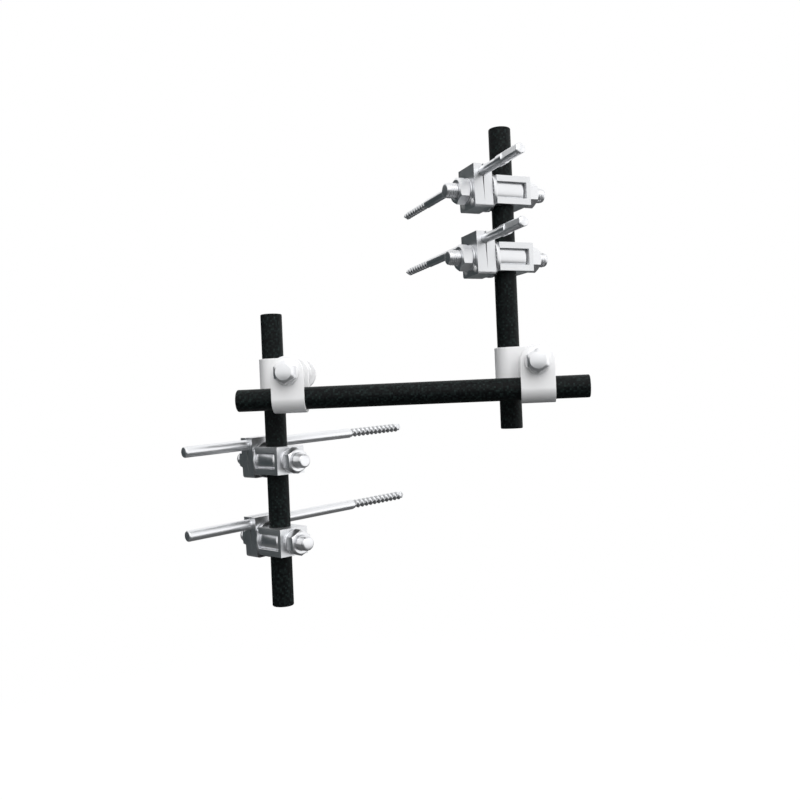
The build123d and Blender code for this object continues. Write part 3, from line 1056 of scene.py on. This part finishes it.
# %% Build the four pin clamps
def clamp_pieces(end, number):
    """Every piece of one pin clamp, apart from its bone pin."""
    at_yoke, at_plates = yoke_place(end, number), plates_place(end, number)

    def box(piece, place=at_yoke):
        return local_box(f"{end}_{piece}_{number}", place)

    def add(piece, mesh, material, place=at_yoke, crease=CREASE):
        put(f"{end}_{piece}_{number}", mesh, place, material, crease)

    low, high = box("yoke")
    add("yoke", yoke_mesh(low, high), yoke_steel)

    low, high = box("eye_bolt")
    shells = [barrel_mesh(high.z)]
    shells += screw_end(BARREL_FRONT - MM, high.x, STEM_RADIUS, Z_TO_X)
    shells += screw_end(-BARREL_BACK - MM, -low.x, STEM_RADIUS, X_REVERSED)
    add("eye_bolt", join_meshes(shells), turned_steel, crease=BARREL_CREASE)

    low, high = box("clamp_disc")
    disc = toothed_ring(-high.x, -low.x, (high.y - low.y) / 2, STEM_BORE, DISC_TEETH, False)
    add("clamp_disc", moved(disc, X_REVERSED), turned_steel)

    for piece in ("rod_nut", "pin_nut"):
        add(piece, nut_mesh(*box(piece), STEM_BORE), turned_steel, crease=HEX_CREASE)

    low, high = box("washers")
    front_face, back_face = box("yoke")[1].x, box("pin_nut")[1].x
    gauge, radius = high.x - front_face, (high.y - low.y) / 2
    rings = [
        turned(ring_stations(start, start + gauge, radius, STEM_BORE, RING_EDGE), bored=True)
        for start in (front_face, back_face)
    ]
    add("washers", moved(join_meshes(rings), Z_TO_X), turned_steel)

    inner_low, inner_high = box("inner_plate", at_plates)
    outer_low, outer_high = box("outer_plate", at_plates)
    pin_low, pin_high = box("bone_pin", at_plates)
    groove = ((pin_low.x + pin_high.x) / 2, 0, (pin_low.z + pin_high.z) / 2)
    groove_radius = SHAFT_RADIUS[end] + HOLE_PLAY
    foot, top = inner_low.z, inner_high.z
    inner = [(inner_high.x, foot), (inner_high.x, top), (inner_low.x, top), (inner_low.x, foot)]
    slit, heel = outer_high.x, foot + HEEL_HEIGHT
    outer = [(slit, foot), (slit, heel), (slit - SLIT_WIDTH, top), (outer_low.x, top), (outer_low.x, foot)]
    reach = (inner_low.y, inner_high.y, outer_low.x, inner_high.x)
    for piece, outline in (("inner_plate", inner), ("outer_plate", outer)):
        add(piece, plate_mesh(outline, *reach, groove, groove_radius), yoke_steel, at_plates)

    low, high = box("guide_pins", at_plates)
    guide = rounded_stations(low.x, high.x, GUIDE_RADIUS, GUIDE_EDGE, crown=GUIDE_EDGE)
    dowels = [
        moved(turned(guide, 40), Matrix.Translation((0, y, -GUIDE_DROP)) @ Z_TO_X)
        for y in (-GUIDE_SPACING / 2, GUIDE_SPACING / 2)
    ]
    add("guide_pins", join_meshes(dowels), dowel_steel, at_plates)


for end in ENDS:
    for number in NUMBERS:
        clamp_pieces(end, number)
print("pieces made", len(made))


# %% [markdown]
# ## Floor, world and light
# The frame is shown on plain white. The floor lies below it and only keeps a faint shadow. Polished steel
# shows its form by what it reflects, so the world is bright in front, above and to the right, and darker
# to the left and below, as a studio with one large window is.

# %% Floor and world
FLOOR_Z = -0.25
FLOOR_RADIUS = 0.55
FLOOR_DEPTH = 0.004
SHADOW_SHARE = 0.1
SHADOW_REACH = (0.2, 0.5)
MIRRORED_SHARE = 0.03
WHITE = (1.0, 1.0, 1.0, 1.0)
PALE = (0.80, 0.80, 0.80, 1.0)
DIM = (0.035, 0.037, 0.038, 1.0)
ROOM_SHADE = (0.045, 0.055, 0.058, 1.0)
# Parts of the room: a direction, and the cosines at which each part begins and is full
FOOT_SIDE = ((-0.94, 0.34, 0.0), 0.62, 0.82)
OPEN_SIDE = ((1.0, 0.0, 0.0), 0.5, 0.9)
BACK_PANEL = ((-0.05, 0.79, 0.61), 0.90, 0.97)
WINDOW_SIDE = ((1.0, -0.05, 0.0), 0.86, 0.97)
WEAK_SIDE = ((-1.0, 0.0, 0.0), 0.0, 0.6)
ABOVE = ((0.0, 0.0, 1.0), -0.2, 0.6)
FOOT_RISE, FOOT_FALL = 0.49, 0.35
FOOT_EDGE = (-0.13, -0.03)


def make_floor():
    """A round floor, white to the camera, that fades into the white room at its rim."""
    angles = [pi * k / 32 for k in range(64)]
    outline = [(FLOOR_RADIUS * cos(a), FLOOR_RADIUS * sin(a)) for a in angles]
    floor = linked("floor", prism(outline, FLOOR_Z - FLOOR_DEPTH, FLOOR_Z))
    material, tree, shader = new_material("floor_white")
    add, calc = tools(tree)
    rays = add("ShaderNodeLightPath").outputs
    tone = mixed(tree, rays["Is Camera Ray"], DIM, PALE)
    feed(shader, {"Base Color": tone, "Roughness": 0.9})
    glow = add("ShaderNodeEmission", {"Color": WHITE, "Strength": 1.0})
    where = add("ShaderNodeTexCoord").outputs["Object"]
    away = add("ShaderNodeVectorMath", {0: where, 1: (0, 0, FLOOR_Z)}, operation="DISTANCE")
    near = add(
        "ShaderNodeMapRange",
        {"Value": away.outputs["Value"], "From Min": SHADOW_REACH[0], "From Max": SHADOW_REACH[1],
         "To Min": SHADOW_SHARE, "To Max": 0.0},
        interpolation_type="SMOOTHSTEP",
    ).outputs[0]
    white = calc("SUBTRACT", 1.0, near)
    mirrored = calc("MAXIMUM", rays["Is Glossy Ray"], rays["Is Transmission Ray"])
    mirrored = calc("MULTIPLY", mirrored, MIRRORED_SHARE)
    share = calc("MAXIMUM", calc("MULTIPLY", rays["Is Camera Ray"], white), mirrored)
    mix = add("ShaderNodeMixShader", {0: share, 1: shader.outputs[0], 2: glow.outputs[0]})
    feed(tree.nodes["Material Output"], {"Surface": mix.outputs[0]})
    floor.data.materials.append(material)


def ramp(tree, value, low, high):
    """A smooth step from 0 to 1 as a value goes from low to high."""
    limits = {"Value": value, "From Min": low, "From Max": high}
    return add_node(tree, "ShaderNodeMapRange", limits, interpolation_type="SMOOTHSTEP").outputs[0]


def make_world():
    """White to the camera; in reflections a white room with a grey foot that stands higher on the left."""
    world = bpy.data.worlds.new("soft_room")
    world.use_nodes = True
    bpy.context.scene.world = world
    tree = world.node_tree
    add, calc = tools(tree)
    where = add("ShaderNodeTexCoord").outputs["Generated"]

    def towards(direction):
        dot = add("ShaderNodeVectorMath", {0: where, 1: direction}, operation="DOT_PRODUCT")
        return dot.outputs["Value"]

    def part(direction, low, high):
        return ramp(tree, towards(direction), low, high)
    # The grey foot stands high on the left and low on the right
    height = towards(ABOVE[0])
    skyline = calc("MULTIPLY_ADD", part(*OPEN_SIDE), FOOT_FALL, height)
    skyline = calc("MULTIPLY_ADD", part(*FOOT_SIDE), -FOOT_RISE, skyline)
    bright = ramp(tree, skyline, *FOOT_EDGE)
    # A dim panel above and behind the object, and a window on the right
    bright = calc("MULTIPLY", bright, calc("MULTIPLY_ADD", part(*BACK_PANEL), -0.6, 1.0))
    window = calc("MULTIPLY_ADD", part(*WINDOW_SIDE), 0.3, 1.0)
    # The room is brightest overhead, and weaker on the left
    overhead = calc("MULTIPLY_ADD", part(*ABOVE), 2.0, 0.4)
    overhead = calc("MULTIPLY", overhead, calc("MULTIPLY_ADD", part(*WEAK_SIDE), -0.8, 1.05))
    shade = add("ShaderNodeBackground", {"Color": ROOM_SHADE, "Strength": 1.0})
    room = add("ShaderNodeBackground", {"Color": WHITE, "Strength": overhead})
    white = tree.nodes["Background"]
    feed(white, {"Color": WHITE, "Strength": window})
    rays = add("ShaderNodeLightPath").outputs
    lit = add("ShaderNodeMixShader", {0: bright, 1: shade.outputs[0], 2: room.outputs[0]})
    seen = calc("MULTIPLY", rays["Is Glossy Ray"], bright)
    for kind in ("Is Transmission Ray", "Is Camera Ray"):
        seen = calc("MAXIMUM", rays[kind], seen)
    mix = add("ShaderNodeMixShader", {0: seen, 1: lit.outputs[0], 2: white.outputs[0]})
    feed(tree.nodes["World Output"], {"Surface": mix.outputs[0]})


make_floor()
make_world()

# %% Lamp
KEY_SIDE = Vector((0.35, -0.85, 0.75)).normalized()
KEY_REACH = 1.3
KEY_SIZE = 0.9
KEY_POWER = 3.4

# One soft square lamp, which looks at the middle of the object
key_data = bpy.data.lights.new("key", "AREA")
key_data.size, key_data.energy = KEY_SIZE, KEY_POWER
key = linked("key", key_data)
key.location = KEY_SIDE * KEY_REACH
key.rotation_euler = (-key.location).to_track_quat("-Z", "Y").to_euler()


# %% [markdown]
# ## Camera
# The picture is drawn in mild perspective, from straight ahead and a little to the right of the middle.
# Place, aim and lens come from the rods: their widths give the distance, and their slopes give the turn.

# %% Camera
CAMERA_PLACE = Vector((39.7, -418.9, -2.9)) * MM
CAMERA_RIGHT = Vector((0.9934, 0.1062, -0.0426)).normalized()
CAMERA_FORWARD = Vector((-0.1063, 0.9943, 0.0)).normalized()
LENS, SENSOR_WIDTH = 38.93, 36.0

camera_data = bpy.data.cameras.new("camera")
camera_data.lens, camera_data.sensor_width = LENS, SENSOR_WIDTH
camera = linked("camera", camera_data)
camera_up = CAMERA_RIGHT.cross(CAMERA_FORWARD).normalized()
camera_right = CAMERA_FORWARD.cross(camera_up).normalized()
camera_turn = Matrix((camera_right, camera_up, -CAMERA_FORWARD)).transposed().to_4x4()
camera.matrix_world = Matrix.Translation(CAMERA_PLACE) @ camera_turn
bpy.context.scene.camera = camera
bpy.context.scene.view_settings.view_transform = "Standard"

# %% Sizes, and the end
print("triangles", sum(len(p.vertices) - 2 for o in made for p in o.data.polygons))
